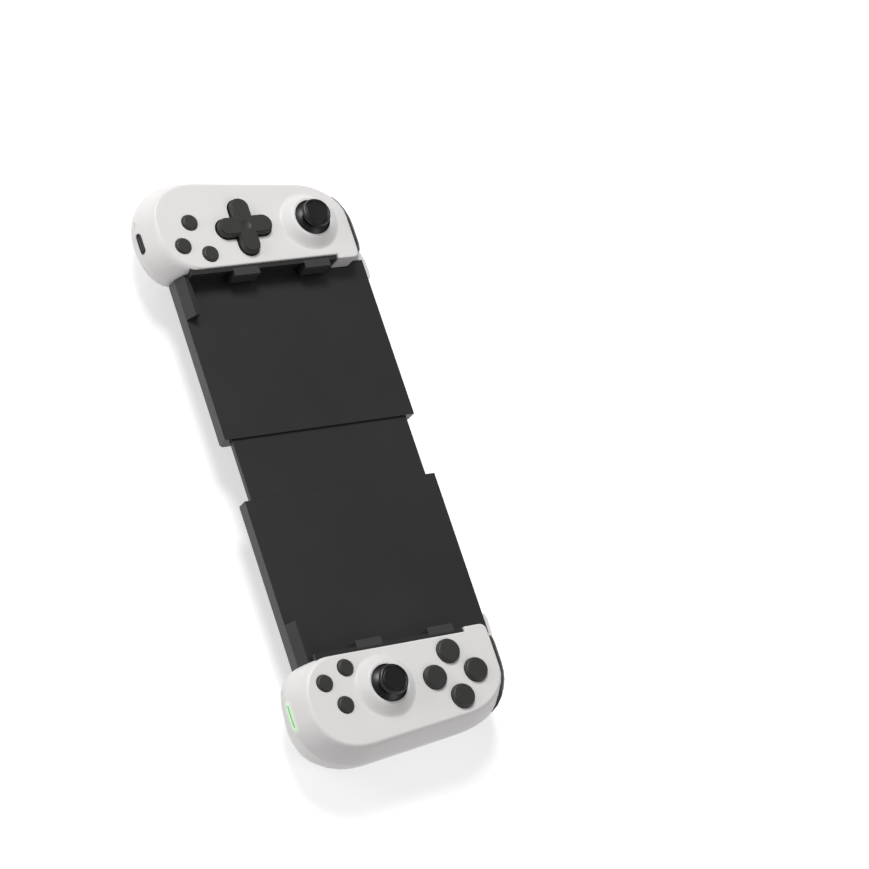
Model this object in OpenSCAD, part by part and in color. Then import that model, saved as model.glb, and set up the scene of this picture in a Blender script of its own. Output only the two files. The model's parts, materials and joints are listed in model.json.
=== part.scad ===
// Stretching game controller that grips a phone between two handles.
// The handles slide apart on a flat centre slide; the phone lies on the two trays.
// +X is the right handle, +Y the trigger side, +Z out of the screen, and Z = 0 the back of the grips.

/* [Bridge] */
// Length of each tray from its free end to the handle
tray_len = 71.65; // [69:0.25:80]
// Width of the trays
tray_w = 89.4; // [88:0.2:96]
// Thickness of the trays
tray_t = 8; // [7.4:0.1:9]
// Bevel along the rear edges of the trays
tray_bevel = 2.3; // [0.5:0.1:2.6]
// Gap between the trays as drawn
tray_gap = 27; // [8:1:50]
// Thickness of the cover plate that carries the phone
cover_t = 0.8; // [0.6:0.1:1.2]
// Floor of the trays behind the centre slide
tray_floor = 1.4; // [1:0.1:1.8]
// Solid end of the trays next to the handle
tray_end = 6; // [4:0.5:7]
// Length of the centre slide
slide_len = 127; // [110:1:131]
// Width of the centre slide over its flanges
slide_w = 82.4; // [78:0.2:83]
// Height of the flanges on the centre slide
flange_h = 2.4; // [1.8:0.1:3]
// Step in from the flanges to the body of the centre slide
flange_step = 2.7; // [1.5:0.1:4]
// Running gap between the centre slide and the trays
slide_gap = 0.2; // [0.1:0.05:0.3]

/* [Phone clamp] */
// Thickness of the black stop wall at the handle
stop_t = 2; // [1.5:0.1:2.5]
// Height of the stop wall above the tray
stop_h = 8.2; // [6:0.2:8.6]
// Length of each rubber pad
pad_len = 12; // [8:0.5:15]
// How far the rubber pads stand out of the stop wall
pad_t = 2.5; // [1:0.1:4]
// Distance between the middles of the two pads
pad_pitch = 33.5; // [28:0.5:38]
// Middle of the two pads above the middle of the bridge
pad_mid = 1.6; // [0:0.1:2]
// Length of the cheek at the lower corner of the tray
cheek_len = 18; // [8:0.5:26]
// Height of the cheek above the tray
cheek_h = 4.4; // [2:0.2:6]
// Width of the top of the cheek
cheek_t = 2; // [1.5:0.1:4]
// Lean of the cheek towards the phone
cheek_lean = 2.7; // [0:0.1:3]

/* [Handle] */
// Depth of the handle from the back of the grip to the front face
grip_depth = 31; // [30:0.25:34]
// Depth of the front cover from the front face to the parting line
front_depth = 10; // [9.6:0.1:11]
// Phone seat below the front face
seat_drop = 9.2; // [8.8:0.1:9.8]
// Width of the front face, inner edge to outer edge
face_w = 38.05; // [37:0.25:40]
// Reach of the front face below the middle of the bridge
face_low = 49.7; // [48:0.25:52]
// Reach of the front face above the middle of the bridge
face_high = 38.7; // [38:0.1:40]
// Swell of the handle outside the front face
swell_out = 4.65; // [3:0.05:6]
// Swell of the handle below the front face
swell_low = 4.9; // [4:0.1:7]
// Swell of the handle above the front face
swell_high = 2.8; // [2:0.1:4]
// Lean of the outer side of the handle, for each millimetre towards its high end
lean = 0.0026; // [0.002:0.0001:0.003]
// Width of the flat back of the grip
back_w = 16; // [12:0.5:18]
// Length of the flat back of the grip
back_len = 50; // [44:1:58]
// Middle of the flat back below the middle of the bridge
back_low = 9; // [6:0.5:14]
// Run of the dark slope between the tray and the back of the grip
slope_run = 17; // [13:0.5:18]
// Wall of both covers
wall = 1.6; // [1.4:0.1:1.8]
// Width of the dark inlay on the slope
inlay_w = 13.5; // [9:0.5:14]
// Length of the dark inlay
inlay_len = 88; // [70:1:89]
// Length of the white lip beside the stop wall
lip_len = 10.2; // [9:0.1:10.2]
// Reach of the white spur along the tray
spur_len = 8.9; // [5:0.1:12]
// Thickness of the white spur beside the tray
spur_t = 2.1; // [1.5:0.1:2.5]

/* [Sticks] */
// Stick distance from the inner edge of the handle
stick_u = 16.2; // [15.6:0.1:17]
// Left stick above the middle of the bridge
left_stick_v = 20.3; // [19.5:0.1:21]
// Right stick below the middle of the bridge
right_stick_v = 14.8; // [13:0.1:16]
// Stick pivot below the front face
pivot_drop = 7; // [6.8:0.1:7.2]
// Radius of the domed skirt under the stick cap
dome_r = 12.8; // [12.5:0.1:13]
// Wall of the domed skirt
dome_t = 1.2; // [0.8:0.1:1.4]
// Gap between the skirt and the collar
dome_gap = 0.45; // [0.35:0.05:0.6]
// Diameter of the thumb disc
disc_d = 12.6; // [11:0.1:13]
// Height of the thumb disc above the front face
disc_top = 8.6; // [8.4:0.1:9.4]
// Height of the collar round the stick
collar_h = 3.6; // [3:0.1:3.7]
// Diameter of the foot of the collar
collar_d = 25.6; // [25.2:0.1:27]
// Side of the square stick housing
housing_w = 13; // [12.6:0.1:13.4]

/* [Buttons] */
// Diameter of the face buttons
face_d = 10; // [8:0.25:10.5]
// Height of the face buttons above the cover
face_h = 2; // [1:0.1:3]
// Distance of the face buttons from the middle of their diamond
face_pitch = 9.65; // [9.2:0.05:10]
// Face button diamond, distance from the inner edge
face_u = 16.65; // [16:0.05:17.5]
// Face button diamond above the middle of the bridge
face_v = 17.5; // [16.5:0.1:18]
// Diameter of the small buttons
small_d = 7; // [5:0.25:7.25]
// Height of the small buttons above the cover
small_h = 1.2; // [0.8:0.1:2]
// Width of the direction pad
dpad_w = 25; // [22:0.5:26]
// Width of its arms
dpad_arm = 8.5; // [7:0.25:9]
// Height of the direction pad above the cover
dpad_h = 3; // [2:0.1:4]
// Direction pad below the middle of the bridge
dpad_v = 11; // [10:0.1:12]
// Gap round the direction pad
dpad_gap = 0.6; // [0.5:0.05:0.8]
// Gap round the round buttons
button_gap = 0.2; // [0.15:0.05:0.3]
// Retaining flange outside the button holes
flange_w = 0.5; // [0.4:0.05:0.6]
// Travel of the buttons
press = 0.7; // [0.4:0.05:0.75]

/* [Shoulder] */
// Width of the trigger
trigger_w = 17; // [16:0.5:19.5]
// Inner end of the trigger from the inner edge of the handle
trigger_u = 8.5; // [8.4:0.1:9]
// Reach of the trigger above the middle of the bridge
trigger_reach = 45.6; // [45.5:0.1:48]
// Radius of the round front of the trigger
trigger_r = 10; // [9.5:0.1:10.5]
// Trigger pin above the middle of the bridge
pin_v = 35.5; // [35.2:0.1:36]
// Trigger pin below the parting line
pin_drop = 2; // [1.9:0.1:2.4]
// Diameter of the trigger pin
pin_d = 2; // [1.6:0.1:2.2]
// Radial running gap on the pins
pin_gap = 0.05; // [0.03:0.01:0.09]
// Reach of the bumper above the top of the handle
bumper_out = 2.7; // [1.6:0.1:3.6]
// Inner end of the bumper from the inner edge of the handle
bumper_u = 3; // [2.5:0.1:4]
// Length of the bumper
bumper_len = 29.7; // [28:0.1:30]
// Slant of the outer end of the bumper, which runs out at the parting line
bumper_slant = 7.2; // [5:0.1:9]
// Height of the bumper
bumper_h = 7.6; // [6.6:0.1:7.6]
// Gap round bumper and trigger in their openings
shoulder_gap = 0.3; // [0.2:0.05:0.5]

/* [Inside] */
// Thickness of the circuit boards
board_t = 1.2; // [0.8:0.1:1.6]
// Circuit board below the parting line
board_drop = 1; // [0.8:0.1:1.4]
// Thickness of the tongue that joins the tray to the handle
tongue_t = 3; // [2:0.1:3.2]
// Diameter of the return springs of the slide
spring_d = 3; // [2:0.1:3.1]
// Diameter of the shank of the screws
screw_d = 2; // [1.6:0.1:2.2]

/* [Hidden] */
$fn = 48;
left = -1;
right = 1;

// Colours of the materials
shell_white = [0.90, 0.87, 0.87];
black = [0.09, 0.09, 0.10];
soft_black = [0.16, 0.16, 0.17];
rubber = [0.22, 0.22, 0.23];
board_green = [0.10, 0.30, 0.18];
steel = [0.72, 0.73, 0.75];
silicone = [0.55, 0.57, 0.60];

// Pan heads of the screws
screw_head_d = 3.6;
screw_head_h = 1.2;
screw_boss_d = screw_d + 3;
board_screw = 7;
tongue_screw = 5;

// Levels above the back of the grips
part_z = grip_depth - front_depth;
seat_z = grip_depth - seat_drop;
tray_z = seat_z - tray_t;
skin_z = grip_depth - wall;
board_z = part_z - board_drop;
pivot_z = grip_depth - pivot_drop;
tongue_z = board_z - board_t - screw_head_h - 0.2 - tongue_t;

// Places in the plan
handle_x = tray_gap / 2 + tray_len;
grip_low = face_low + swell_low;
bridge_y = (grip_low - max(trigger_reach, tray_w / 2 + spur_t)) / 2;
small_places = [[6.05, -29.7], [10.75, -40.7], [20.85, -34.6]];
boss_places = [[28, -45], [34.2, -14], [31.5, 13]];
tongue_screw_places = [[17, -30], [17, 26]];
face_places = [[-1, 0], [0, 1], [0, -1], [1, 0]];

// Outlines of the handle: inner, outer, low and high edges, then the radii of the
// inner low, outer low, outer high and inner high corners
face_outline = [0, face_w, -face_low, face_high, 16, 17, 17, 22, 18, 20, 3, 3];
part_outline = [0, face_w + swell_out, -grip_low, face_high + swell_high, 15, 11, 22, 28, 17, 20, 3, 3];
back_outline = [slope_run, slope_run + back_w, -back_low - back_len / 2, back_len / 2 - back_low,
  5, 10, 11, 25, 8, 25, 7, 18];
lean_level = 27;
corner_steps = 8;
level_steps = 6;
eps = 0.5;

// Bow of the sides of the front half, and height of the soft rim of the front face
side_bow = 1.25;
rim_h = 0.9;

function mix(a, b, k) = a * (1 - k) + b * k;

function corner(cu, cv, ru, rv, a) =
  [for (i = [0:corner_steps]) let (b = a + 90 * i / corner_steps) [cu + ru * cos(b), cv + rv * sin(b)]];

// The corners give way where the outline is too narrow for them
function upright_outline(s, inset = 0) =
  let (u0 = s[0] + inset, u1 = s[1] - inset, v0 = s[2] + inset, v1 = s[3] - inset)
  let (r = [for (i = [4:11]) max(s[i] - inset, 0.6)])
  let (low = min(1, 0.98 * (u1 - u0) / (r[0] + r[2])), high = min(1, 0.98 * (u1 - u0) / (r[4] + r[6])))
  concat(
    corner(u1 - low * r[2], v0 + r[3], low * r[2], r[3], 270),
    corner(u1 - high * r[4], v1 - r[5], high * r[4], r[5], 0),
    corner(u0 + high * r[6], v1 - r[7], high * r[6], r[7], 90),
    corner(u0 + low * r[0], v0 + r[1], low * r[0], r[1], 180)
  );

// The same with the lean of the handle's outer side
function outline(s, inset = 0) =
  [for (p = upright_outline(s, inset)) [p[0] * (1 - lean * (p[1] + lean_level)), p[1]]];

// The dark slope: how far the inner side of the grip has moved out at a level
function slope_at(z) = z >= tray_z ? 0 : slope_run * (1 - pow(max(z, 0) / tray_z, 1.6));

function with_inner(s, u) = [for (i = [0:11]) i == 0 ? u : s[i]];

// Outline of the front half at a share of its depth: the inner low corner keeps a full shoulder
function front_outline(t) =
  let (side = mix(part_outline, face_outline, pow(t, side_bow)))
  let (shoulder = mix(part_outline, face_outline, 1 - sqrt(1 - t * t)))
  [for (i = [0:11]) i == 4 || i == 5 ? shoulder[i] : side[i]];

// Rings of the front half, from the parting line towards the front face
function front_rings(inset, share = 1) =
  [for (i = [0:level_steps]) let (t = share * i / level_steps)
    [part_z + (front_depth - inset) * t, outline(front_outline(t), inset)]];

// The soft rim that ends the front face or a piece level with it
function rim_levels() = [[grip_depth - 0.3 * rim_h, 0.25 * rim_h], [grip_depth, rim_h]];

// Rings of the rear half, from the back of the grip up to the parting line
function rear_rings(inset) =
  [for (i = [level_steps:-1:0])
    let (a = 90 * i / level_steps, z = part_z - (part_z - inset) * sin(a))
    [z, outline(with_inner(mix(part_outline, back_outline, 1 - cos(a)), slope_at(z)), inset)]];

function side_faces(n, m) =
  [for (i = [0:m - 2]) for (j = [0:n - 1]) for (t = [0, 1])
    let (a = i * n + j, b = i * n + (j + 1) % n)
    t == 0 ? [a, a + n, b + n] : [a, b + n, b]];

// A skin through rings of equal counts, closed by flat ends
module loft(rings) {
  n = len(rings[0][1]);
  m = len(rings);
  low_end = [for (j = [0:n - 1]) j];
  high_end = [for (j = [n - 1:-1:0]) (m - 1) * n + j];
  points = [for (r = rings) for (p = r[1]) [p[0], p[1], r[0]]];
  polyhedron(points, concat([low_end], side_faces(n, m), [high_end]), convexity = 8);
}

// Draws in the frame of one handle: u out from its inner edge, v up from the middle of the bridge
module at_half(side) {
  translate([0, bridge_y, 0])
    if (side == right) translate([handle_x, 0, 0]) children();
    else mirror([1, 0, 0]) translate([handle_x, 0, 0]) children();
}

module at_bridge() {
  translate([0, bridge_y, 0]) children();
}

// A bar along u with its profile in v and z
module bar(u, length) {
  translate([u, 0, 0]) rotate([90, 0, 90]) linear_extrude(length) children();
}

module box(low, high) {
  translate(low) cube(high - low);
}

module pill(length, width) {
  square([length - width, width], center = true);
  for (s = [-1, 1]) translate([s * (length - width) / 2, 0]) circle(d = width);
}

module cross(width, arm) {
  pill(width, arm);
  rotate(90) pill(width, arm);
}

function stick_v(side) = side == left ? left_stick_v : -right_stick_v;

// Bridge

module slide_profile(grow) {
  w = slide_w / 2 + grow;
  top = seat_z - cover_t - slide_gap + grow;
  low = tray_z + tray_floor + slide_gap - grow;
  step = top - flange_h - 2 * grow;
  polygon([[-w, top], [-w, step], [flange_step - w, step], [flange_step - w, low],
    [w - flange_step, low], [w - flange_step, step], [w, step], [w, top]]);
}

slide_low = tray_z + tray_floor + slide_gap;
slide_top = seat_z - cover_t - slide_gap;
pocket_top = slide_top - 1.2;
spring_v = 20;
spring_anchor = 12;
ribbon_w = 14;
plate_t = 0.8;
plate_w = 2 * spring_v + spring_d + 5;
spring_z = slide_low + plate_t + spring_d / 2 + 0.2;

// Flanged plate with channels for the ribbon and the two springs, closed behind by a plate
module centre_slide() {
  end = slide_len / 2 + eps;
  color(black) at_bridge() difference() {
    bar(-slide_len / 2, slide_len) slide_profile(0);
    box([-end, -ribbon_w / 2 - 0.5, slide_low - eps], [end, ribbon_w / 2 + 0.5, pocket_top]);
    for (s = [left, right])
      translate([s * (spring_anchor + end) / 2, s * spring_v, (slide_low + pocket_top - eps) / 2])
        cube([end - spring_anchor, spring_d + 0.6, pocket_top - slide_low + eps], center = true);
    translate([0, 0, slide_low]) cube([slide_len - 10, plate_w + 0.4, 2 * plate_t], center = true);
  }
}

module centre_slide_plate() {
  color(soft_black) at_bridge() translate([0, 0, slide_low + plate_t / 2])
    cube([slide_len - 10.4, plate_w, plate_t], center = true);
}

// The ribbon lies in the slide with one fold of slack at each side
module ribbon_cable() {
  z = slide_low + plate_t + 0.5;
  reach = handle_x - tray_end;
  fold = 18;
  color(soft_black) at_bridge() translate([0, ribbon_w / 2, 0]) rotate([90, 0, 0]) linear_extrude(ribbon_w) {
    translate([-reach, z]) square([2 * reach, 0.3]);
    for (s = [-1, 1]) translate([s * fold - 5, z + 0.3]) square([10, 0.5]);
  }
}

module return_spring(side) {
  color(steel) at_half(side)
    translate([spring_anchor - handle_x, side * spring_v, spring_z]) rotate([0, 90, 0])
      difference() {
        cylinder(d = spring_d, h = handle_x - tray_end - spring_anchor);
        translate([0, 0, -1]) cylinder(d = spring_d - 1.4, h = handle_x);
      }
}

module left_return_spring() { return_spring(left); }
module right_return_spring() { return_spring(right); }

module tray_profile() {
  w = tray_w / 2;
  top = seat_z - cover_t;
  polygon([[-w, top], [-w, tray_z + tray_bevel], [tray_bevel - w, tray_z],
    [w - tray_bevel, tray_z], [w, tray_z + tray_bevel], [w, top]]);
}

rib_t = 1.2;
battery_size = [18, 34, 7];
battery_u = 13.2;
battery_v = -25;
battery_z = tongue_z - 0.2 - battery_size[2];
rib_inset = 5;
battery_ribs = [battery_v + rib_inset, battery_v + battery_size[1] - rib_inset - rib_t];

tongue_w = 58;
tongue_len = 20;

module tray(side) {
  color(black) at_half(side) difference() {
    union() {
      bar(-tray_len, tray_len) tray_profile();
      box([-eps, -tongue_w / 2, tongue_z], [tongue_len, tongue_w / 2, tongue_z + tongue_t]);
    }
    bar(-tray_len - 1, tray_len + 1 - tray_end) slide_profile(slide_gap);
    bar(-tray_len - 1, tray_len + 1 - tray_end)
      translate([-slide_w / 2 - slide_gap, seat_z - cover_t - 1]) square([slide_w + 2 * slide_gap, 2]);
    for (p = tongue_screw_places)
      translate([p[0], p[1], tongue_z - 1]) cylinder(d = screw_d + 0.1, h = tongue_t + 2);
  }
}

module left_tray() { tray(left); }
module right_tray() { tray(right); }

stop_low = -40.5;
stop_high = 28;
stop_corner = 5;
recess_t = 1;
recess_rim = 1.6;
recess_foot = 1;
recess_ends = [-34, pad_mid + (pad_pitch + pad_len) / 2 + 0.6];

// Plan of the stop wall where it fills the rounded inner corner of the front face
module stop_corner_plan() {
  difference() {
    translate([-stop_t, stop_low]) square([stop_corner + stop_t, -stop_low]);
    polygon(outline(face_outline));
  }
}

// Cover plate with the stop wall and the leaning cheek at its lower corner
module tray_cover(side) {
  w = tray_w / 2;
  cheek_inner = cheek_lean + cheek_t - w;
  color(black) at_half(side) {
    box([-tray_len, -w, seat_z - cover_t], [0, w, seat_z]);
    difference() {
      union() {
        box([-stop_t, stop_low, seat_z - 0.01], [0, stop_high, seat_z + stop_h]);
        translate([0, 0, seat_z]) linear_extrude(stop_h) stop_corner_plan();
      }
      box([-stop_t - 1, recess_ends[0], seat_z + recess_foot],
        [recess_t - stop_t, recess_ends[1], seat_z + stop_h - recess_rim]);
    }
    bar(-cheek_len, cheek_len) polygon([[-w, seat_z - 0.01], [cheek_inner, seat_z - 0.01],
      [cheek_inner, seat_z + cheek_h], [cheek_lean - w, seat_z + cheek_h]]);
  }
}

module left_tray_cover() { tray_cover(left); }
module right_tray_cover() { tray_cover(right); }

pad_bevel = 1.2;
pad_rim = 0.6;

module phone_pads(side) {
  reach = pad_t + recess_t;
  low = seat_z + recess_foot;
  high = seat_z + stop_h - recess_rim;
  top = seat_z + stop_h - pad_rim;
  color(rubber) at_half(side)
    for (s = [-1, 1])
      translate([recess_t - stop_t, pad_mid + s * pad_pitch / 2 + pad_len / 2, 0]) rotate([90, 0, 0])
        linear_extrude(pad_len) polygon([[0, low], [-reach, low], [-reach, top - pad_bevel],
          [pad_bevel - reach, top], [-recess_t, top], [-recess_t, high], [0, high]]);
}

module left_phone_pads() { phone_pads(left); }
module right_phone_pads() { phone_pads(right); }

// Covers

// Collar round a stick: a cone that ends in a rounded lip
module collar() {
  foot = collar_d / 2;
  lip = foot - 3.8;
  top = grip_depth + collar_h;
  rotate_extrude() polygon([[0, skin_z], [foot + 0.8, skin_z], [foot + 0.8, grip_depth],
    [foot, grip_depth + 0.15], [lip + 0.5, top - 0.45], [lip, top - 0.1], [lip - 0.5, top], [0, top]]);
}

usb_w = 9;
usb_h = 3.2;
usb_len = 7.4;
usb_u = 17.8;
light_u = 19;
light_w = 9.2;
light_h = 1;
slit_u = 26.5;
slit_w = 2;
slit_h = 0.6;
lip_v = stop_high + 0.5;
lip_corner = 2.8;

// Opening for the socket, half in each cover
module usb_opening() {
  translate([usb_u, -grip_low + 6, board_z + usb_h / 2]) rotate([90, 0, 0])
    linear_extrude(12) pill(usb_w + 0.4, usb_h + 0.4);
}

// Notch in the edge of the front cover at the low end of the handle
module low_notch(u, width, height) {
  box([u - width / 2, -grip_low - 2, part_z - 1], [u + width / 2, -grip_low + 6, part_z + height]);
}

// The white lip goes on from the front face beside the stop wall
module face_lip() {
  edge = 0.7;
  plan = [-stop_t - 0.1, wall, lip_v, lip_v + lip_len,
    edge, edge, edge, edge, edge, edge, lip_corner, lip_corner];
  cap = [for (i = [0:11]) i == 1 ? 2 * lip_corner : plan[i]];
  translate([0, 0, seat_z + 0.2]) linear_extrude(skin_z - seat_z) polygon(upright_outline(plan));
  loft(concat([for (z = [skin_z, grip_depth - rim_h]) [z, upright_outline(cap)]],
    [for (r = rim_levels()) [r[0], upright_outline(cap, r[1])]]));
}

// Inner wall behind the black corner of the stop wall
module corner_wall() {
  translate([0, 0, part_z]) linear_extrude(front_depth - rim_h) intersection() {
    translate([-1, stop_low - 4]) square([stop_corner + 2, 14]);
    difference() {
      polygon(outline(face_outline));
      polygon(outline(face_outline, wall));
    }
  }
}

module front_cover(side) {
  color(shell_white) at_half(side) difference() {
    union() {
      difference() {
        loft(concat(front_rings(0, 1 - rim_h / front_depth),
          [for (r = rim_levels()) [r[0], outline(face_outline, r[1])]]));
        loft(concat([[part_z - eps, front_rings(wall)[0][1]]], front_rings(wall)));
      }
      face_lip();
      corner_wall();
      translate([stick_u, stick_v(side), 0]) collar();
    }
    translate([0, 0, seat_z]) linear_extrude(stop_h) stop_corner_plan();
    translate([stick_u, stick_v(side), pivot_z]) sphere(r = dome_r + dome_gap);
    for (p = small_places) translate([p[0], p[1], part_z])
      cylinder(d = small_d + 2 * button_gap, h = 2 * front_depth);
    if (side == left) translate([stick_u, -dpad_v, part_z])
      linear_extrude(2 * front_depth) cross(dpad_w + 2 * dpad_gap, dpad_arm + 2 * dpad_gap);
    if (side == right) for (p = face_places)
      translate([face_u + p[0] * face_pitch, face_v + p[1] * face_pitch, part_z])
        cylinder(d = face_d + 2 * button_gap, h = 2 * front_depth);
    bumper_block(shoulder_gap, part_z - 1);
    if (side == left) {
      usb_opening();
      low_notch(slit_u, slit_w, slit_h);
    }
    if (side == right) low_notch(light_u, light_w, light_h);
  }
}

module left_front_cover() { front_cover(left); }
module right_front_cover() { front_cover(right); }

inlay_low = 2.2;

// Plan of the dark inlay on the slope
module inlay_plan(gap) {
  steps = 28;
  half = inlay_len / 2 - gap;
  polygon(concat([[-2, -half - inlay_low], [-2, half - inlay_low]],
    [for (i = [steps:-1:0]) let (t = 2 * i / steps - 1)
      [(inlay_w - gap) * pow(max(1 - pow(abs(t), 2.4), 0), 1 / 2.4), t * half - inlay_low]]));
}

module grip_shell() {
  difference() {
    loft(rear_rings(0));
    loft(concat(rear_rings(wall), [[part_z + eps, rear_rings(wall)[level_steps][1]]]));
  }
}

spur_web_t = 1.2;

// White spur that wraps the upper corner of the tray, with a web under the tray
module spur() {
  side = tray_w / 2;
  far = side + spur_t;
  top = face_high + swell_high;
  inlay_end = inlay_len / 2 - inlay_low + 0.1;
  translate([0, 0, tray_z - spur_web_t]) linear_extrude(part_z - tray_z + spur_web_t)
    polygon([[-spur_len, side], [-spur_len, far - 1.3], [-spur_len + 1, far - 0.4], [-spur_len + 3, far],
      [0, far - 0.2], [4, far - 1.4], [8, top + 0.6], [11, top - 0.4],
      [11, top - 2.5], [0, top - 2.5], [0, side]]);
  translate([0, 0, tray_z - spur_web_t]) linear_extrude(spur_web_t)
    polygon([[-spur_len, side + 0.1], [-spur_len, side - 1.6], [-spur_len / 2, side - 2.2], [-2, inlay_end],
      [0, inlay_end], [2, top - 2.5], [2, side + 0.1]]);
}

tread_t = 0.5;
trigger_mid_z = part_z - 8.5;
trigger_mid_v = trigger_reach - trigger_r - tread_t;
trigger_low_angle = -62;
trigger_high_angle = 50;
trigger_low = trigger_mid_z + trigger_r * sin(trigger_low_angle);
trigger_end = trigger_u + trigger_w;
pin_z = part_z - pin_drop;
boss_w = 2.4;

well_back = pin_v - 4;
well_low = trigger_low - 1.6;

// Walls round the opening of the trigger, which also carry its pin
module trigger_well() {
  u0 = trigger_u - shoulder_gap - boss_w;
  u1 = trigger_end + shoulder_gap + boss_w;
  box([u0, well_back - wall, well_low - wall], [u1, trigger_reach, board_z - board_t - 0.2]);
  box([u0, well_back + 1, pin_z - 4], [u1, trigger_reach, part_z]);
}

module trigger_opening() {
  box([trigger_u - shoulder_gap, well_back, well_low],
    [trigger_end + shoulder_gap, trigger_reach + 10, part_z + 1]);
}

module rear_cover(side) {
  color(shell_white) at_half(side) difference() {
    union() {
      grip_shell();
      spur();
      intersection() {
        loft(rear_rings(wall / 2));
        union() {
          trigger_well();
          for (p = boss_places) translate([p[0], p[1], 0]) cylinder(d = screw_boss_d, h = board_z - board_t);
          for (p = tongue_screw_places) translate([p[0], p[1], 0]) cylinder(d = screw_boss_d, h = tongue_z);
          if (side == right) for (v = battery_ribs)
            box([battery_u, v, 0], [battery_u + battery_size[0], v + rib_t, battery_z]);
        }
      }
    }
    linear_extrude(tray_z) inlay_plan(0);
    trigger_opening();
    box([-1, -tongue_w / 2 - 0.1, tongue_z - 0.1],
      [2 * wall + 1, tongue_w / 2 + 0.1, tongue_z + tongue_t + 0.1]);
    translate([trigger_u - shoulder_gap - boss_w, pin_v, pin_z]) rotate([0, 90, 0])
      cylinder(d = pin_d, h = trigger_w + 2 * (shoulder_gap + boss_w));
    for (p = boss_places) translate([p[0], p[1], board_z - board_screw - 1])
      cylinder(d = screw_d, h = 2 * board_screw);
    for (p = tongue_screw_places) translate([p[0], p[1], tongue_z + tongue_t - tongue_screw - 1])
      cylinder(d = screw_d, h = tongue_screw + 1);
    if (side == left) usb_opening();
  }
}

module left_rear_cover() { rear_cover(left); }
module right_rear_cover() { rear_cover(right); }

module grip_inlay(side) {
  color(black) at_half(side) difference() {
    intersection() {
      grip_shell();
      linear_extrude(tray_z) inlay_plan(0.05);
    }
    trigger_opening();
  }
}

module left_grip_inlay() { grip_inlay(left); }
module right_grip_inlay() { grip_inlay(right); }

// Inside the handles

board_outline = [2.6, 38, -grip_low + 4.6, pin_v - 3.2, 9, 10, 14, 18, 12, 30, 3, 3];

module circuit_board(side) {
  color(board_green) at_half(side) translate([0, 0, board_z - board_t]) linear_extrude(board_t) difference() {
    polygon(outline(board_outline));
    for (p = boss_places) translate(p) circle(d = screw_d + 0.1);
  }
}

module left_circuit_board() { circuit_board(left); }
module right_circuit_board() { circuit_board(right); }

// A pan head on a plain shank, standing on its head seat
module screw(length) {
  translate([0, 0, -length]) cylinder(d = screw_d - 0.06, h = length + 0.01);
  r = screw_head_d / 2;
  rotate_extrude() polygon([[0, 0], [r, 0], [r, 0.7], [r - 0.5, screw_head_h - 0.1], [0, screw_head_h]]);
}

module screws(side) {
  color(steel) at_half(side) {
    for (p = boss_places) translate([p[0], p[1], board_z]) screw(board_screw);
    for (p = tongue_screw_places) translate([p[0], p[1], tongue_z + tongue_t]) screw(tongue_screw);
  }
}

module left_screws() { screws(left); }
module right_screws() { screws(right); }

button_low = grip_depth - 6.5;
dome_top = button_low - press - 0.2;
sheet_t = 1;
face_dome_d = face_d - 3;
dpad_flange_low = grip_depth - 4.1;
dpad_reach = 9;
post_base = [10, 6];
post_base_t = 1.2;

// Rubber dome over a contact
module contact_dome(d, top) {
  translate([0, 0, board_z]) rotate_extrude()
    polygon([[0, 0], [d / 2, 0], [d / 2, sheet_t], [d / 2 - 0.6, sheet_t + 0.2],
      [d / 2 - 1, top - board_z], [0, top - board_z]]);
}

module button_pad(side) {
  color(silicone) at_half(side) {
    translate([0, 0, board_z]) linear_extrude(sheet_t) {
      polygon(small_places);
      for (p = small_places) translate(p) circle(d = small_d);
      if (side == left) difference() {
        translate([stick_u, -dpad_v]) circle(r = dpad_reach + 3);
        translate([stick_u, -dpad_v]) square(post_base + [1, 1], center = true);
      }
      if (side == right) translate([face_u, face_v]) rotate(45)
        square(face_pitch * sqrt(2) + face_dome_d, center = true);
    }
    for (p = small_places) translate([p[0], p[1], 0]) contact_dome(small_d - 1, dome_top);
    if (side == left) for (p = face_places)
      translate([stick_u + p[0] * dpad_reach, p[1] * dpad_reach - dpad_v, 0])
        contact_dome(5.4, dpad_flange_low - 1.4);
    if (side == right) for (p = face_places)
      translate([face_u + p[0] * face_pitch, face_v + p[1] * face_pitch, 0])
        contact_dome(face_dome_d, dome_top);
  }
}

module left_button_pad() { button_pad(left); }
module right_button_pad() { button_pad(right); }

// Sticks

trunnion_d = 2;
ring_d = 9.6;
ring_h = 3;
cross_pin_d = 1.8;
lever_d = 3.2;
hub_d = 4.6;

module at_stick(side) {
  at_half(side) translate([stick_u, stick_v(side), pivot_z]) children();
}

module stick_housing(side) {
  low = board_z - pivot_z;
  inner = housing_w - 2.2;
  color(soft_black) at_stick(side) difference() {
    translate([-housing_w / 2, -housing_w / 2, low]) cube([housing_w, housing_w, 4 - low]);
    translate([-inner / 2, -inner / 2, low + 0.6]) cube([inner, inner, 10]);
    rotate([0, 90, 0]) cylinder(d = trunnion_d + 2 * pin_gap, h = 2 * housing_w, center = true);
  }
}

module left_stick_housing() { stick_housing(left); }
module right_stick_housing() { stick_housing(right); }

module stick_yoke(side) {
  reach = housing_w / 2 - 0.2;
  color(rubber) at_stick(side) difference() {
    union() {
      translate([0, 0, -ring_h / 2]) cylinder(d = ring_d, h = ring_h);
      rotate([0, 90, 0]) translate([0, 0, -reach]) cylinder(d = trunnion_d, h = 2 * reach);
    }
    translate([0, 0, -ring_h]) cylinder(d = hub_d + 1.8, h = 2 * ring_h);
    rotate([90, 0, 0]) translate([0, 0, -ring_d]) cylinder(d = cross_pin_d + 2 * pin_gap, h = 2 * ring_d);
  }
}

module left_stick_yoke() { stick_yoke(left); }
module right_stick_yoke() { stick_yoke(right); }

socket_low = 8.4;
lever_top = 11.6;

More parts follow.
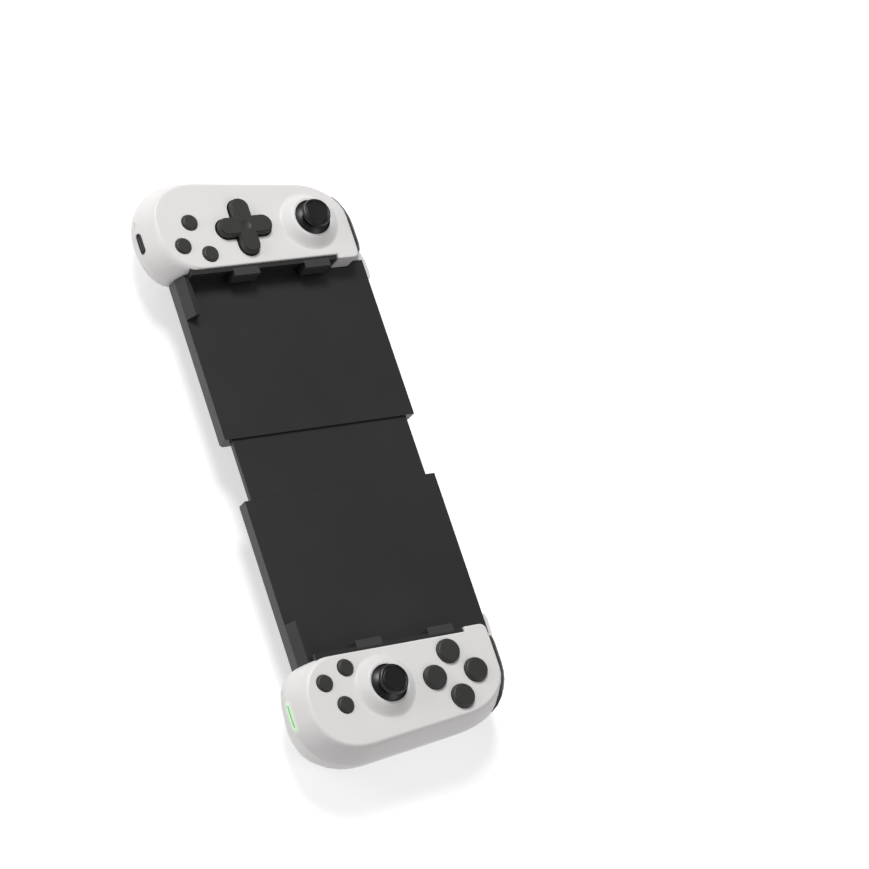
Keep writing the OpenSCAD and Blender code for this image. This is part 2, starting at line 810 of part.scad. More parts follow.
module stick_lever(side) {
  color(steel) at_stick(side) {
    translate([0, 0, -1.4]) cylinder(d = hub_d, h = 2.8);
    cylinder(d = lever_d, h = lever_top);
    rotate([90, 0, 0]) translate([0, 0, -ring_d / 2 + 0.1]) cylinder(d = cross_pin_d, h = ring_d - 0.2);
  }
}

module left_stick_lever() { stick_lever(left); }
module right_stick_lever() { stick_lever(right); }

// Thumb disc with a rim, a groove and a dished pad, a neck, and the domed skirt that turns about the pivot
module stick_cap(side) {
  top = disc_top + pivot_drop;
  rim = disc_d / 2;
  disc_low = dome_r + 0.7;
  pad = rim - 1.5;
  start = 20;
  stop = 65;
  steps = 10;
  neck = dome_r * sin(start);
  color(black) at_stick(side) difference() {
    rotate_extrude() polygon(concat(
      [[0, socket_low], [neck - dome_t, socket_low]],
      [for (i = [0:steps]) let (a = mix(start + 2, stop, i / steps)) (dome_r - dome_t) * [sin(a), cos(a)]],
      [for (i = [steps:-1:0]) let (a = mix(start, stop, i / steps)) dome_r * [sin(a), cos(a)]],
      [[neck - 0.2, disc_low - 0.1], [rim - 0.7, disc_low], [rim, disc_low + 0.5], [rim, top - 0.8],
        [rim - 0.3, top - 0.2], [rim - 0.8, top], [pad + 0.4, top - 0.1], [pad + 0.2, top - 0.5],
        [pad, top - 0.5], [pad - 0.3, top - 0.15], [0, top - 0.4]]));
    translate([0, 0, socket_low - 1]) cylinder(d = lever_d + 2 * pin_gap, h = lever_top - socket_low + 1.8);
  }
}

module left_stick_cap() { stick_cap(left); }
module right_stick_cap() { stick_cap(right); }

// Buttons

// Round button with a soft top edge and a flange that keeps it under the cover
module round_button(d, height) {
  r = d / 2;
  hole = r + button_gap;
  top = grip_depth + height;
  flange_top = skin_z - 0.2;
  rotate_extrude() polygon([[0, button_low], [r - 0.6, button_low], [r - 0.6, flange_top - 1],
    [hole + flange_w, flange_top - 1], [hole + flange_w, flange_top], [r, flange_top], [r, top - 0.9],
    [r - 0.25, top - 0.4], [r - 0.9, top], [0, top]]);
}

module small_button(side, i) {
  p = small_places[i];
  color(black) at_half(side) translate([p[0], p[1], 0]) round_button(small_d, small_h);
}

module left_small_button_1() { small_button(left, 0); }
module left_small_button_2() { small_button(left, 1); }
module left_small_button_3() { small_button(left, 2); }
module right_small_button_1() { small_button(right, 0); }
module right_small_button_2() { small_button(right, 1); }
module right_small_button_3() { small_button(right, 2); }

// The flange of the inner button is cut flat beside the wall of the cover
module face_button(i) {
  p = face_places[i];
  color(black) at_half(right) difference() {
    translate([face_u + p[0] * face_pitch, face_v + p[1] * face_pitch, 0]) round_button(face_d, face_h);
    box([-1, 0, 0], [wall + 0.3, face_high, skin_z]);
  }
}

module face_button_left() { face_button(0); }
module face_button_top() { face_button(1); }
module face_button_bottom() { face_button(2); }
module face_button_right() { face_button(3); }

dpad_pivot_z = dpad_flange_low - 2.1;
lug_mid = 3.6;
lug_t = 1.6;
lug_w = 3.6;

module at_dpad() {
  at_half(left) translate([stick_u, -dpad_v, 0]) children();
}

module dpad() {
  top = grip_depth + dpad_h;
  color(black) at_dpad() difference() {
    union() {
      translate([0, 0, dpad_flange_low]) linear_extrude(1) cross(dpad_w + 2.8, dpad_arm + 2.8);
      translate([0, 0, dpad_flange_low]) linear_extrude(top - 0.9 - dpad_flange_low) cross(dpad_w, dpad_arm);
      translate([0, 0, top - 1]) linear_extrude(0.55) cross(dpad_w - 0.5, dpad_arm - 0.5);
      translate([0, 0, top - 0.5]) linear_extrude(0.5) cross(dpad_w - 1.6, dpad_arm - 1.6);
      for (s = [-1, 1]) translate([-lug_w / 2, s * lug_mid - lug_t / 2, dpad_pivot_z - 1.7])
        cube([lug_w, lug_t, dpad_flange_low - dpad_pivot_z + 2]);
    }
    translate([0, 0, dpad_pivot_z]) rotate([90, 0, 0])
      cylinder(d = trunnion_d + 2 * pin_gap, h = 12, center = true);
    translate([0, 0, top + 7.6]) sphere(r = 8);
  }
}

module dpad_pivot() {
  color(steel) at_dpad() translate([0, 0, dpad_pivot_z]) {
    cube([3.2, 3.2, 2.2], center = true);
    for (a = [0, 90]) rotate([90, 0, a]) cylinder(d = trunnion_d, h = 2 * lug_mid + 1.4, center = true);
  }
}

module dpad_post() {
  color(soft_black) at_dpad() difference() {
    union() {
      translate([0, 0, board_z]) linear_extrude(post_base_t) square(post_base, center = true);
      for (s = [-1, 1]) translate([s * lug_mid - lug_t / 2, -lug_w / 2, board_z])
        cube([lug_t, lug_w, dpad_pivot_z + 1.6 - board_z]);
    }
    translate([0, 0, dpad_pivot_z]) rotate([0, 90, 0])
      cylinder(d = trunnion_d + 2 * pin_gap, h = 12, center = true);
  }
}

// Shoulder

bumper_low = part_z + 0.5;
bumper_top = bumper_low + bumper_h;
bumper_foot = [0, face_w + 3, -grip_low, face_high + swell_high + bumper_out, 13, 8, 16, 20, 24, 17, 9, 3.5];
bumper_brow = [0, face_w + 0.35, -face_low, face_high + 0.7, 16, 17, 17, 22, 20, 18, 5, 3];
bumper_back = pin_v - 0.2;
bumper_wrap = 3.5;
bumper_knee = 27;
ear_w = 1.1;

function bumper_end(z) = bumper_u + bumper_len - bumper_slant * (z - bumper_low) / bumper_h;

// Block that holds the bumper: its outer end slants down to the parting line
module bumper_block(gap, low) {
  high = bumper_top + gap;
  translate([0, trigger_reach + 10, 0]) rotate([90, 0, 0])
    linear_extrude(trigger_reach + 10 - bumper_back + bumper_wrap + gap)
      polygon([[bumper_u - gap, low], [bumper_end(low) + 1.4 * gap, low],
        [bumper_end(high) + 1.4 * gap, high], [bumper_u - gap, high]]);
}

// Rings of the bumper, which swells out of the handle and closes in to the front face
function bumper_rings() =
  [for (i = [0:level_steps]) let (a = 90 * i / level_steps)
    [bumper_low + bumper_h * sin(a), outline(mix(bumper_foot, bumper_brow, 1 - cos(a)))]];

// An ear at the inner end and a hook at the outer end keep the bumper inside the cover
module bumper_ears() {
  low = bumper_low + ear_w / 2;
  high = low + 2 * ear_w;
  inner_face = face_high + swell_high - wall;
  hook = [bumper_knee + 1.5, bumper_back - bumper_wrap - 3.4];
  box([bumper_u - ear_w, bumper_back, low], [bumper_u + 1, inner_face - ear_w, high]);
  box([hook[0], hook[1], low], [hook[0] + 1.6, bumper_back - 2, high]);
  box([hook[0], hook[1], low], [hook[0] + 3.6, hook[1] + ear_w, high]);
}

module bumper(side) {
  color(black) at_half(side) {
    difference() {
      intersection() {
        loft(bumper_rings());
        bumper_block(0, bumper_low);
      }
      box([0, 0, bumper_low - 1], [bumper_knee, bumper_back, bumper_top + 1]);
      box([bumper_u + 2.5, bumper_back - 1, bumper_low + 1.6],
        [switch_u - 1.5, bumper_back + 3, bumper_top - 2.2]);
    }
    bumper_ears();
  }
}

module left_bumper() { bumper(left); }
module right_bumper() { bumper(right); }

switch_u = 21;
switch_h = 3.2;
plunger = 1.2;

// Switch behind the bumper, on a riser from the board
module bumper_switch(side) {
  front = bumper_back - 1;
  color(soft_black) at_half(side) {
    box([switch_u, front - 4.6, board_z], [switch_u + 4, front - plunger, bumper_low + switch_h]);
    translate([switch_u + 2, front - plunger - 0.01, bumper_low + switch_h / 2]) rotate([-90, 0, 0])
      cylinder(d = 2, h = plunger);
  }
}

module left_bumper_switch() { bumper_switch(left); }
module right_bumper_switch() { bumper_switch(right); }

spring_slot = 6;
trigger_round = 8;
eye_t = 1.1;

// Side view of the trigger: a round front, a lip at the rear end and an eye for the pin
module trigger_profile() {
  steps = 14;
  polygon(concat(
    [for (i = [0:steps]) let (a = mix(trigger_low_angle, trigger_high_angle, i / steps))
      [trigger_mid_v + trigger_r * cos(a), trigger_mid_z + trigger_r * sin(a)]],
    [[pin_v + 2, pin_z + 1.6], [pin_v, pin_z + 1.6], [pin_v - 1.4, pin_z], [pin_v + 0.2, pin_z - 5],
      [pin_v + 2, pin_z - 12], [trigger_mid_v + 3.4, trigger_low + 0.4]]));
}

// Front view of the trigger, round at its rear end
module trigger_front() {
  reach = trigger_w / 2 - trigger_round;
  translate([-trigger_w / 2, -part_z - 1]) square([trigger_w, part_z + 1 - trigger_low - trigger_round]);
  translate([-reach, -part_z - 1]) square([2 * reach, part_z + 1 - trigger_low]);
  for (s = [-1, 1]) translate([s * reach, -trigger_low - trigger_round]) circle(r = trigger_round);
}

tread_w = trigger_w - 4.5;
tread_h = 13;
tread_edge = 2;
tread_round = 7;

// Raised tread on the front of the trigger, straight beside the bumper and round at its rear end
module trigger_tread() {
  plan = [-tread_w / 2, tread_w / 2, -tread_h / 2, tread_h / 2,
    tread_edge, tread_edge, tread_edge, tread_edge, tread_round, tread_round, tread_round, tread_round];
  translate([trigger_u + trigger_w / 2, trigger_mid_v, trigger_mid_z]) intersection() {
    rotate([0, 90, 0]) cylinder(r = trigger_r + tread_t, h = trigger_w, center = true);
    translate([0, trigger_r / 2, 0]) rotate([-90, 0, 0]) linear_extrude(trigger_r)
      polygon(upright_outline(plan));
  }
}

module trigger(side) {
  mid_u = trigger_u + trigger_w / 2;
  color(black) at_half(side) difference() {
    union() {
      intersection() {
        bar(trigger_u, trigger_w) union() {
          trigger_profile();
          translate([pin_v, pin_z]) circle(r = pin_d / 2 + eye_t);
        }
        translate([mid_u, pin_v - 5, 0]) rotate([-90, 0, 0]) linear_extrude(30) trigger_front();
      }
      trigger_tread();
    }
    translate([0, pin_v, pin_z]) rotate([0, 90, 0]) cylinder(d = pin_d + 2 * pin_gap, h = 60);
    translate([mid_u, pin_v, pin_z]) rotate([0, 90, 0])
      cylinder(d = pin_d + 4.4, h = spring_slot, center = true);
  }
}

module left_trigger() { trigger(left); }
module right_trigger() { trigger(right); }

module trigger_pin(side) {
  reach = shoulder_gap + boss_w;
  color(steel) at_half(side) translate([trigger_u - reach, pin_v, pin_z]) rotate([0, 90, 0])
    cylinder(d = pin_d, h = trigger_w + 2 * reach);
}

module left_trigger_pin() { trigger_pin(left); }
module right_trigger_pin() { trigger_pin(right); }

module trigger_spring(side) {
  length = spring_slot - 1;
  color(steel) at_half(side)
    translate([trigger_u + trigger_w / 2, pin_v, pin_z]) rotate([0, 90, 0]) difference() {
      cylinder(d = pin_d + 2.6, h = length, center = true);
      cylinder(d = pin_d, h = length + 2, center = true);
    }
}

module left_trigger_spring() { trigger_spring(left); }
module right_trigger_spring() { trigger_spring(right); }

// Power and light

module usb_socket() {
  color(steel) at_half(left)
    translate([usb_u, -grip_low + 0.3 + usb_len, board_z + usb_h / 2]) rotate([90, 0, 0]) difference() {
      linear_extrude(usb_len) pill(usb_w, usb_h);
      translate([0, 0, 1.2]) linear_extrude(usb_len) difference() {
        pill(usb_w - 0.6, usb_h - 0.6);
        square([6.6, 0.7], center = true);
      }
    }
}

module battery() {
  color([0.35, 0.38, 0.42]) at_half(right)
    translate([battery_u, battery_v, battery_z]) cube(battery_size);
}

module light_guide() {
  flush = outline(front_outline(light_h / front_depth), 0.1);
  color([0.30, 0.95, 0.40]) at_half(right) intersection() {
    box([light_u - light_w / 2, -grip_low, part_z], [light_u + light_w / 2, 5 - grip_low, part_z + light_h]);
    translate([0, 0, part_z]) linear_extrude(light_h) polygon(flush);
  }
}

centre_slide();
centre_slide_plate();
ribbon_cable();
left_return_spring();
right_return_spring();
left_tray();
right_tray();
left_tray_cover();
right_tray_cover();
left_phone_pads();
right_phone_pads();
left_front_cover();
right_front_cover();
left_rear_cover();
right_rear_cover();
left_grip_inlay();
right_grip_inlay();
left_circuit_board();
right_circuit_board();
left_screws();
right_screws();
left_button_pad();
right_button_pad();
left_stick_housing();
right_stick_housing();
left_stick_yoke();
right_stick_yoke();
left_stick_lever();
right_stick_lever();
left_stick_cap();
right_stick_cap();
left_bumper();
right_bumper();
left_bumper_switch();
right_bumper_switch();
left_trigger();
right_trigger();
left_trigger_pin();
right_trigger_pin();
left_trigger_spring();
right_trigger_spring();
dpad();
dpad_pivot();
dpad_post();
left_small_button_1();
left_small_button_2();
left_small_button_3();
right_small_button_1();
right_small_button_2();
right_small_button_3();
face_button_left();
face_button_top();
face_button_bottom();
face_button_right();
usb_socket();
battery();
light_guide();
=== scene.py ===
import json
import math

import bmesh
import bpy
from mathutils import Matrix, Vector


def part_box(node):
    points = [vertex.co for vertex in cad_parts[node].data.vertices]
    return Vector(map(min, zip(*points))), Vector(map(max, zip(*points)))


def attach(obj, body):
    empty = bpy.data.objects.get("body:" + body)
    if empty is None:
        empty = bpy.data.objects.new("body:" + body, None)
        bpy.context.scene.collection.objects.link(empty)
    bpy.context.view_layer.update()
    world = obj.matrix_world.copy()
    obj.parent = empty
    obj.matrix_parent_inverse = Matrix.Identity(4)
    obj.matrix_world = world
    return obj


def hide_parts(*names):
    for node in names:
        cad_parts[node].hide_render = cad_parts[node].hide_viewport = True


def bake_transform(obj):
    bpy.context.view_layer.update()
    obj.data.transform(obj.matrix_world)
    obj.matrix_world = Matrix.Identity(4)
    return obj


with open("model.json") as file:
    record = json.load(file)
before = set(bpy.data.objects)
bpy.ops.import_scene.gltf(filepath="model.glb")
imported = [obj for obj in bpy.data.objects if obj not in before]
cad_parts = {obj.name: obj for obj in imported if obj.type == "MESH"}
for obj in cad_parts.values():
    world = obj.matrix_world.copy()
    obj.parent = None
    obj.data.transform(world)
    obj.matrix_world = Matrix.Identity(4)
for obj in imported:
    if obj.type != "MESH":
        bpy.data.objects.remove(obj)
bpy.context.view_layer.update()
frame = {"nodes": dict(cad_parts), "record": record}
cad_nodes = frame["nodes"]
record = frame["record"]
scene = bpy.context.scene
body_of = {n: b for b, names in record["behaviour"]["bodies"].items() for n in names}
slot_of = {p["node"]: p["material_slot"] for p in record["subparts"]}

MM = 0.001
SIDES = (("left", -1), ("right", 1))

# Inner edge of each handle and middle of the bridge, in millimetres, as in the solids
HANDLE_X = 85.15
BRIDGE_Y = 3.9


# Camera, at the photograph's viewing angle

LENS = 138.56
SENSOR = 36.0
EYE = Vector((0.4006, -0.66600, 1.1376))
EYE_RIGHT = Vector((0.309224, 0.845905, 0.434539))
EYE_UP = Vector((-0.905449, 0.122178, 0.406491))
EYE_BACK = Vector((0.290762, -0.519150, 0.803704))


def place_camera():
    data = bpy.data.cameras.new("camera")
    data.sensor_width = SENSOR
    data.lens = LENS
    data.clip_start = 0.05
    data.clip_end = 20.0
    camera = bpy.data.objects.new("camera", data)
    scene.collection.objects.link(camera)
    turn = Matrix((EYE_RIGHT, EYE_UP, EYE_BACK)).transposed().to_4x4()
    camera.matrix_world = Matrix.Translation(EYE) @ turn
    scene.camera = camera


# Shader maths

class Wire:
    """A socket in a shader tree: arithmetic adds Math nodes, node() adds any other node."""

    def __init__(self, tree, socket=None):
        self.tree = tree
        self.socket = socket

    def node(self, kind, settings=None, sockets=None, output=0):
        made = self.tree.nodes.new(kind)
        for key, value in (settings or {}).items():
            setattr(made, key, value)
        for key, value in (sockets or {}).items():
            if isinstance(value, Wire):
                self.tree.links.new(value.socket, made.inputs[key])
            else:
                made.inputs[key].default_value = value
        return Wire(self.tree, made.outputs[output])

    def math(self, operation, first, second=0.0):
        return self.node("ShaderNodeMath", {"operation": operation}, {0: first, 1: second})

    def __add__(self, other):
        return self.math("ADD", self, other)

    def __sub__(self, other):
        return self.math("SUBTRACT", self, other)

    def __rsub__(self, other):
        return self.math("SUBTRACT", other, self)

    def __mul__(self, other):
        return self.math("MULTIPLY", self, other)

    __radd__ = __add__
    __rmul__ = __mul__

    def feed(self, shader, name):
        self.tree.links.new(self.socket, shader.inputs[name])


def shader_of(material):
    return material.node_tree.nodes["Principled BSDF"]


def new_finish(name):
    material = bpy.data.materials.new(name)
    material.use_nodes = True
    return material, Wire(material.node_tree), shader_of(material)


def noise(wire, place, scale, detail=2.0):
    return wire.node("ShaderNodeTexNoise", {}, {"Vector": place, "Scale": scale, "Detail": detail})


def mixed(wire, factor, low, high):
    sockets = {0: factor, 6: (*low, 1.0), 7: (*high, 1.0)}
    return wire.node("ShaderNodeMix", {"data_type": "RGBA"}, sockets, 2)


CLOUD_SCALE = 26.0


def moulded(name, low, high, rough, spread, grain, depth):
    """Moulded plastic or rubber: a faint cloud in its colour and gloss, and a fine grain in its skin."""
    material, wire, shader = new_finish(name)
    place = wire.node("ShaderNodeTexCoord", output="Object")
    cloud = noise(wire, place, CLOUD_SCALE, 3.0)
    skin = noise(wire, place, grain)
    mixed(wire, cloud, low, high).feed(shader, "Base Color")
    (rough - spread + cloud * spread + skin * spread).feed(shader, "Roughness")
    bump = wire.node("ShaderNodeBump", {}, {"Strength": 0.5, "Distance": depth * MM, "Height": skin})
    bump.feed(shader, "Normal")
    return material


# Finishes: name, darkest and lightest colour, roughness and its spread, scale and depth of the grain
FINISHES = {
    "shell": ("satin_white_shell", (0.80, 0.775, 0.77), (0.86, 0.84, 0.835), 0.40, 0.06, 2600.0, 0.004),
    "bridge": ("satin_black_bridge", (0.015, 0.015, 0.015), (0.023, 0.023, 0.023), 0.40, 0.08, 2400.0, 0.006),
    "controls": ("satin_black_controls", (0.026, 0.027, 0.025), (0.037, 0.038, 0.035), 0.42, 0.06, 3000.0, 0.003),
    "stick": ("stick_rubber", (0.004, 0.004, 0.004), (0.007, 0.007, 0.007), 0.34, 0.06, 2600.0, 0.004),
    "socket": ("dark_socket", (0.030, 0.028, 0.028), (0.045, 0.042, 0.042), 0.45, 0.08, 2200.0, 0.003),
    "inner_plastic": ("inner_plastic", (0.020, 0.020, 0.022), (0.032, 0.032, 0.034), 0.5, 0.08, 1500.0, 0.006),
    "pads": ("matt_rubber_pads", (0.030, 0.030, 0.031), (0.045, 0.045, 0.046), 0.72, 0.10, 1800.0, 0.012),
    "silicone": ("contact_silicone", (0.24, 0.26, 0.29), (0.29, 0.31, 0.34), 0.6, 0.08, 1500.0, 0.006),
    "steel": ("plain_steel", (0.50, 0.51, 0.53), (0.58, 0.59, 0.61), 0.32, 0.10, 2200.0, 0.003),
    "board": ("green_board", (0.010, 0.060, 0.028), (0.016, 0.085, 0.040), 0.34, 0.08, 900.0, 0.006),
    "cell": ("foil_pouch", (0.10, 0.12, 0.15), (0.13, 0.15, 0.18), 0.4, 0.10, 700.0, 0.01),
    "light": ("light_line", (0.17, 0.36, 0.11), (0.21, 0.42, 0.14), 0.3, 0.06, 900.0, 0.002),
    # painted shade: near-black discs stand in for the shade inside the pits of the trigger tread
    "pit_shade": ("painted_pit_shade", (0.002, 0.002, 0.002), (0.004, 0.004, 0.004), 0.8, 0.1, 2500.0, 0.002),
}

# Middle and half length of the light line, and the reach of its green glow, painted onto the white shell as
# emission
LIGHT_MID = (104.15, -50.7, 21.5)
LIGHT_HALF = 4.7
LIGHT_COLOUR = (0.06, 1.0, 0.04, 1.0)
LIGHT_STRENGTH = 0.12
PAINTED_GLOW_REACH = 3.4
PAINTED_GLOW_COLOUR = (0.06, 0.40, 0.04)


def paint_light_glow(material):
    """Paints the light line's green glow onto the shell beside it, as emission."""
    wire = Wire(material.node_tree)
    shader = shader_of(material)
    place = wire.node("ShaderNodeTexCoord", output="Object")
    parts = [wire.node("ShaderNodeSeparateXYZ", {}, {0: place}, i) for i in range(3)]
    along, across, deep = [wire.math("ABSOLUTE", p * (1 / MM) - m) for p, m in zip(parts, LIGHT_MID)]
    along = wire.math("MAXIMUM", along - LIGHT_HALF, 0.0)
    distance = wire.math("SQRT", along * along + across * across + deep * deep)
    painted_glow = wire.math("MAXIMUM", 1.0 - distance * (1.0 / PAINTED_GLOW_REACH), 0.0)
    mixed(wire, painted_glow * painted_glow, (0.0, 0.0, 0.0), PAINTED_GLOW_COLOUR).feed(shader, "Emission Color")
    shader.inputs["Emission Strength"].default_value = 1.0


def make_finishes():
    made = {slot: moulded(*values) for slot, values in FINISHES.items()}
    paint_light_glow(made["shell"])
    shader_of(made["steel"]).inputs["Metallic"].default_value = 1.0
    glowing = shader_of(made["light"])
    glowing.inputs["Emission Color"].default_value = LIGHT_COLOUR
    glowing.inputs["Emission Strength"].default_value = LIGHT_STRENGTH
    return made


# Pieces

SMOOTH_BELOW = 34.0


def finish_piece(name, bm, body, finish, stands_for=(), crease=SMOOTH_BELOW):
    for face in bm.faces:
        face.smooth = True
    for edge in bm.edges:
        edge.smooth = edge.calc_face_angle(0.0) < math.radians(crease)
    mesh = bpy.data.meshes.new(name)
    bm.to_mesh(mesh)
    bm.free()
    mesh.materials.append(finish)
    piece = bpy.data.objects.new(name, mesh)
    scene.collection.objects.link(piece)
    even = piece.modifiers.new("even_shading", "WEIGHTED_NORMAL")
    even.keep_sharp = True
    even.weight = 60
    if body:
        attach(piece, body)
    if stands_for:
        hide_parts(*stands_for)
    return piece


# Edges of a copied solid that are shorter than this, in millimetres, would stop the softening
SHORTEST_EDGE = 0.02
SAME_POINT = 0.002
FLAT_BELOW = 0.05
SHARP_ABOVE = 40.0


def merged_copy(node):
    bm = bmesh.new()
    bm.from_mesh(cad_nodes[node].data)
    bmesh.ops.remove_doubles(bm, verts=bm.verts[:], dist=SAME_POINT * MM)
    bmesh.ops.dissolve_degenerate(bm, dist=SHORTEST_EDGE * MM, edges=bm.edges[:])
    bmesh.ops.dissolve_limit(
        bm, angle_limit=math.radians(FLAT_BELOW), verts=bm.verts[:], edges=bm.edges[:])
    return bm


def soften(bm, width, segments=2):
    """Rounds every sharp edge."""
    sharp = math.radians(SHARP_ABOVE)
    edges = [e for e in bm.edges if e.is_manifold and e.calc_face_angle(0.0) > sharp]
    bmesh.ops.bevel(
        bm, geom=edges, offset=width * MM, offset_type="OFFSET", segments=segments,
        profile=0.5, affect="EDGES", material=-1, clamp_overlap=True)


def dress_node(node, bm, finish):
    return finish_piece("soft_" + node, bm, body_of[node], finish, (node,))


# Width of the soft edges, in millimetres; the buttons are round in the solids already
HANDLE_EDGES = {
    "front_cover": 0.3, "rear_cover": 0.3, "grip_inlay": 0.15, "tray": 0.35, "tray_cover": 0.25,
    "phone_pads": 0.35, "trigger": 0.4,
}
STICK_EDGE = 0.15
DPAD_EDGE = 0.25
SLIDE_EDGE = 0.25
SOCKET_EDGE = 0.15
BUMPER_EDGE = 0.2
PAD_HEAD_EDGE = 0.4


def soft_copy(node, width, finish):
    bm = merged_copy(node)
    if width:
        soften(bm, width)
    return dress_node(node, bm, finish)


def soft_copies():
    for side, sign in SIDES:
        for part, width in HANDLE_EDGES.items():
            node = f"{side}_{part}"
            soft_copy(node, width, finishes[slot_of[node]])
        soft_copy(f"{side}_stick_cap", STICK_EDGE, finishes["stick"])
        for number in (1, 2, 3):
            soft_copy(f"{side}_small_button_{number}", 0.0, finishes["controls"])
    for place in ("left", "top", "bottom", "right"):
        soft_copy(f"face_button_{place}", 0.0, finishes["controls"])
    soft_copy("dpad", DPAD_EDGE, finishes["controls"])
    soft_copy("centre_slide", SLIDE_EDGE, finishes["bridge"])
    soft_copy("usb_socket", SOCKET_EDGE, finishes["socket"])


# The outer end of each bumper stands back from its opening, so that a full press stays clear of the cover

WRAP_BACK = 35.7
WRAP_CLEARANCE = 0.4


def soft_bumper(side):
    node = f"{side}_bumper"
    bm = merged_copy(node)
    back = [v for v in bm.verts if abs(v.co.y / MM - WRAP_BACK) < 0.05]
    bmesh.ops.translate(bm, verts=back, vec=(0.0, WRAP_CLEARANCE * MM, 0.0))
    soften(bm, BUMPER_EDGE)
    return dress_node(node, bm, finishes["controls"])


# Return springs inside the bridge, from the centre slide to the tray

COIL_WIRE_R = 0.3
COIL_WIRE_SIDES = 6
COIL_TURNS = 20
COIL_STEPS = 12
COIL_CREASE = 80.0


def return_coil(side, sign):
    node = f"{side}_return_spring"
    low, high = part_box(node)
    middle = (low + high) / 2
    near, far = sorted((low.x, high.x), key=abs)
    wire_r = COIL_WIRE_R * MM
    loop_r = (high.z - low.z) / 2 - wire_r
    reach = far - near - 2 * sign * wire_r
    start = Vector((near + sign * wire_r, middle.y, middle.z))
    steps = COIL_TURNS * COIL_STEPS
    bm = bmesh.new()
    wire_end = Matrix.Translation(start + Vector((0.0, loop_r, 0.0)))
    bmesh.ops.create_circle(bm, cap_ends=True, segments=COIL_WIRE_SIDES, radius=wire_r, matrix=wire_end)
    bmesh.ops.spin(
        bm, geom=bm.verts[:] + bm.edges[:] + bm.faces[:], cent=start, axis=(1.0, 0.0, 0.0),
        dvec=(reach / steps, 0.0, 0.0), angle=2 * math.pi * COIL_TURNS, steps=steps)
    bmesh.ops.recalc_face_normals(bm, faces=bm.faces[:])
    coil = finish_piece(
        f"{side}_return_coil", bm, None, finishes["steel"], (node,), COIL_CREASE)
    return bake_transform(coil)


# Painted shade of the pits in the tread of each trigger: near-black discs sunk into the tread, their tops just
# proud of it, in rows along the bumper, by angle and count, the last one shorter

TREAD_MID = (17.0, 35.1, 12.5)
TREAD_R = 10.5
PIT_ROWS = ((26.0, 7), (12.5, 6), (-1.0, 7), (-14.5, 6), (-28.0, 3))
PIT_PITCH = 1.7
PIT_R = 0.38
PIT_SIDES = 10
PIT_DEPTH = 0.2
PIT_FROM_MID = TREAD_R + 0.01 - PIT_DEPTH / 2


def painted_pit_shade(side, sign):
    bm = bmesh.new()
    for angle, count in PIT_ROWS:
        turn = math.radians(angle)
        face_out = Matrix.Rotation(turn - math.pi / 2, 4, "X")
        for i in range(count):
            across = (i - (count - 1) / 2) * PIT_PITCH
            place = Vector((
                sign * (HANDLE_X + TREAD_MID[0] + across),
                BRIDGE_Y + TREAD_MID[1] + PIT_FROM_MID * math.cos(turn),
                TREAD_MID[2] + PIT_FROM_MID * math.sin(turn)))
            bmesh.ops.create_cone(
                bm, cap_ends=True, segments=PIT_SIDES, radius1=PIT_R * MM, radius2=PIT_R * MM,
                depth=PIT_DEPTH * MM, matrix=Matrix.Translation(place * MM) @ face_out)
    return finish_piece(
        f"{side}_painted_pit_shade", bm, body_of[f"{side}_trigger"], finishes["pit_shade"])


# Rubber heads of the phone pads, level with the stop wall

PADS_MID = 1.6
PADS_HALF_PITCH = 16.75
PAD_LOW = (-4.5, -6.0, 28.2)
PAD_HIGH = (-0.8, 6.0, 30.15)


def pad_heads(side, sign):
    node = f"{side}_phone_pads"
    bm = bmesh.new()
    size = [(high - low) * MM for low, high in zip(PAD_LOW, PAD_HIGH)]
    mid = [(high + low) / 2 for low, high in zip(PAD_LOW, PAD_HIGH)]
    for v in (PADS_MID - PADS_HALF_PITCH, PADS_MID + PADS_HALF_PITCH):
        place = Vector((sign * (HANDLE_X + mid[0]), BRIDGE_Y + v + mid[1], mid[2])) * MM
        scale = Matrix.Diagonal((*size, 1.0))
        bmesh.ops.create_cube(bm, size=1.0, matrix=Matrix.Translation(place) @ scale)
    soften(bm, PAD_HEAD_EDGE, segments=3)
    return finish_piece(f"{side}_pad_heads", bm, body_of[node], finishes["pads"])


# Stage

FLOOR_HALF = 4.0
FLOOR_DROP = 0.2
FLOOR_GLOW = 0.55
WORLD_LIGHT = 0.27

# Lamps: place, width and power
LAMPS = {
    "key": ((-1.2, -0.26, 1.68), 0.78, 26.0),
    "fill": ((0.9, 0.6, 1.0), 0.8, 2.5),
    "low": ((-0.4, -1.1, 0.5), 0.6, 3.0),
}
LAMP_AIM = Vector((0.0, 0.0, 0.02))


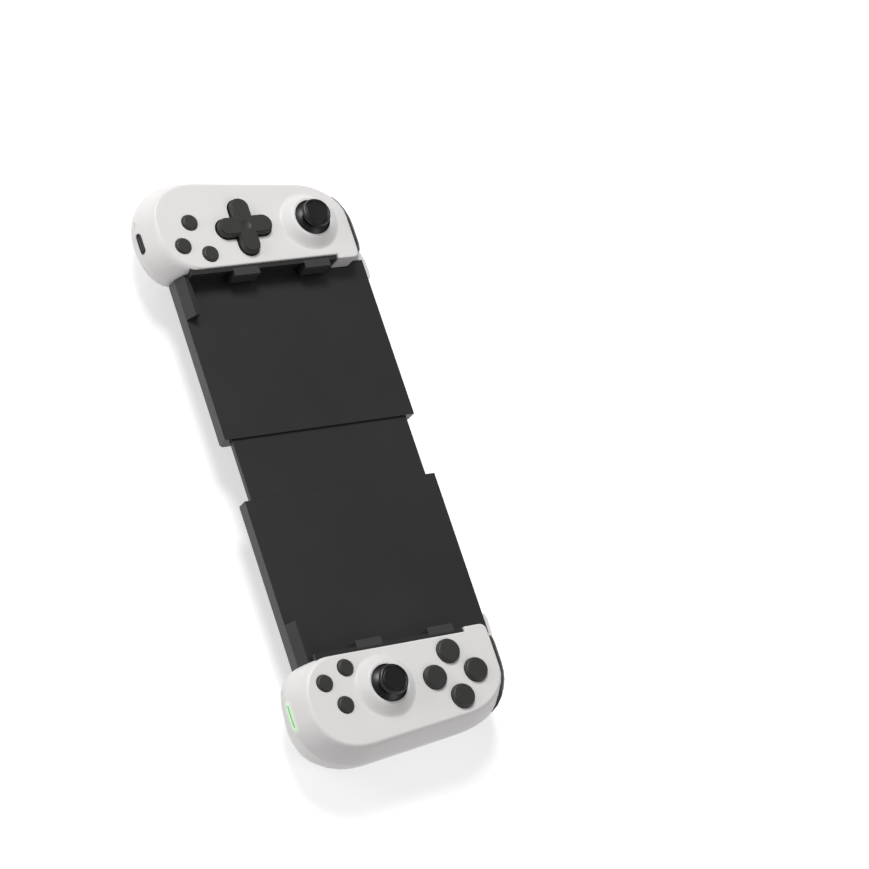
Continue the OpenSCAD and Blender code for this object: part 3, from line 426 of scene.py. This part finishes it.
def make_floor():
    bm = bmesh.new()
    bmesh.ops.create_grid(bm, x_segments=1, y_segments=1, size=FLOOR_HALF)
    mesh = bpy.data.meshes.new("floor")
    bm.to_mesh(mesh)
    bm.free()
    floor = bpy.data.objects.new("floor", mesh)
    floor.location.z = -FLOOR_DROP * MM
    scene.collection.objects.link(floor)
    material, wire, shader = new_finish("pale_floor")
    shader.inputs["Base Color"].default_value = (0.80, 0.80, 0.80, 1.0)
    shader.inputs["Roughness"].default_value = 0.9
    camera_ray, glossy_ray, clear_ray = [
        wire.node("ShaderNodeLightPath", output=f"Is {ray} Ray") for ray in ("Camera", "Glossy", "Transmission")]
    seen = wire.math("MAXIMUM", camera_ray, wire.math("MAXIMUM", glossy_ray, clear_ray))
    sockets = {"Color": (1.0, 1.0, 1.0, 1.0), "Strength": seen * FLOOR_GLOW}
    glow = wire.node("ShaderNodeEmission", {}, sockets)
    both = wire.node("ShaderNodeAddShader", {}, {0: Wire(wire.tree, shader.outputs[0]), 1: glow})
    both.feed(wire.tree.nodes["Material Output"], "Surface")
    mesh.materials.append(material)


def soft_lamp(name, place, size, power):
    data = bpy.data.lights.new(name, "AREA")
    data.shape = "DISK"
    data.size = size
    data.energy = power
    lamp = bpy.data.objects.new(name, data)
    lamp.location = place
    lamp.rotation_euler = (LAMP_AIM - Vector(place)).to_track_quat("-Z", "Y").to_euler()
    scene.collection.objects.link(lamp)


def light_stage():
    world = bpy.data.worlds.new("studio")
    world.use_nodes = True
    background = world.node_tree.nodes["Background"]
    background.inputs["Color"].default_value = (1.0, 1.0, 1.0, 1.0)
    background.inputs["Strength"].default_value = WORLD_LIGHT
    scene.world = world
    for name, (place, size, power) in LAMPS.items():
        soft_lamp(name, place, size, power)


place_camera()
finishes = make_finishes()
for name, node in cad_nodes.items():
    node.data.materials.clear()
    node.data.materials.append(finishes[slot_of[name]])

soft_copies()
for side, sign in SIDES:
    soft_bumper(side)
    return_coil(side, sign)
    painted_pit_shade(side, sign)
    pad_heads(side, sign)

make_floor()
light_stage()
scene.view_settings.view_transform = "Standard"
